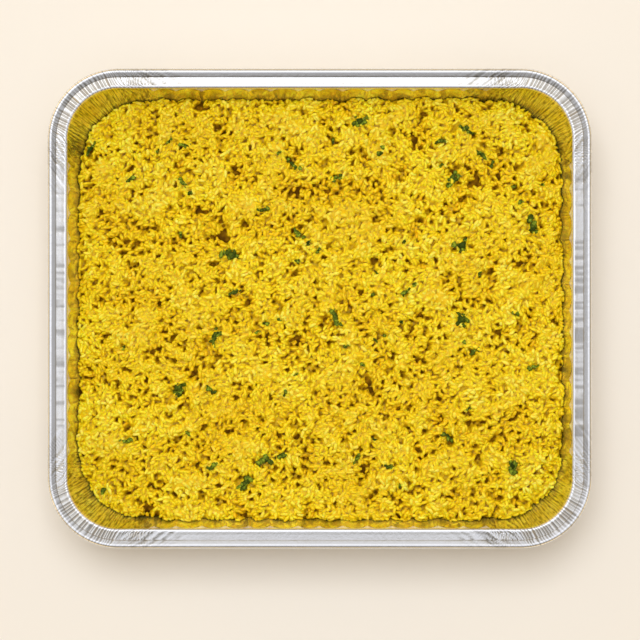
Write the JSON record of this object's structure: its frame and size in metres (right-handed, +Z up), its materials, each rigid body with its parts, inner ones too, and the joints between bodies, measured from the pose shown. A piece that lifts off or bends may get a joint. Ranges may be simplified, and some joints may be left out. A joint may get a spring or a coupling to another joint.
{
  "type": "foil tray meal",
  "caption": "Rounded rectangular foil tray with a rolled rim and fluted walls, filled with loose yellow rice that is scattered with chopped parsley.",
  "frame": {"origin": "middle of the tray's footprint, on the plane that the tray stands on", "axes": "+X along the longer side of the rim, +Y along the shorter side, +Z up"},
  "size_m": [0.325, 0.2866, 0.06],
  "materials": {
    "foil": "bright pressed foil, finely creased, stained yellow on the inner wall",
    "yellow_rice": "cooked rice grains coloured with turmeric, slightly moist",
    "parsley": "chopped dark green leaf with a soft sheen"
  },
  "bodies": {
    "root": {"foil_tray": "foil", "rice": "yellow_rice", "parsley_leaf_01": "parsley", "parsley_leaf_02": "parsley", "parsley_leaf_03": "parsley", "parsley_leaf_04": "parsley", "parsley_leaf_05": "parsley", "parsley_leaf_06": "parsley", "parsley_leaf_07": "parsley", "parsley_leaf_08": "parsley", "parsley_leaf_09": "parsley", "parsley_leaf_10": "parsley", "parsley_leaf_11": "parsley", "parsley_leaf_12": "parsley"}
  },
  "joints": []
}
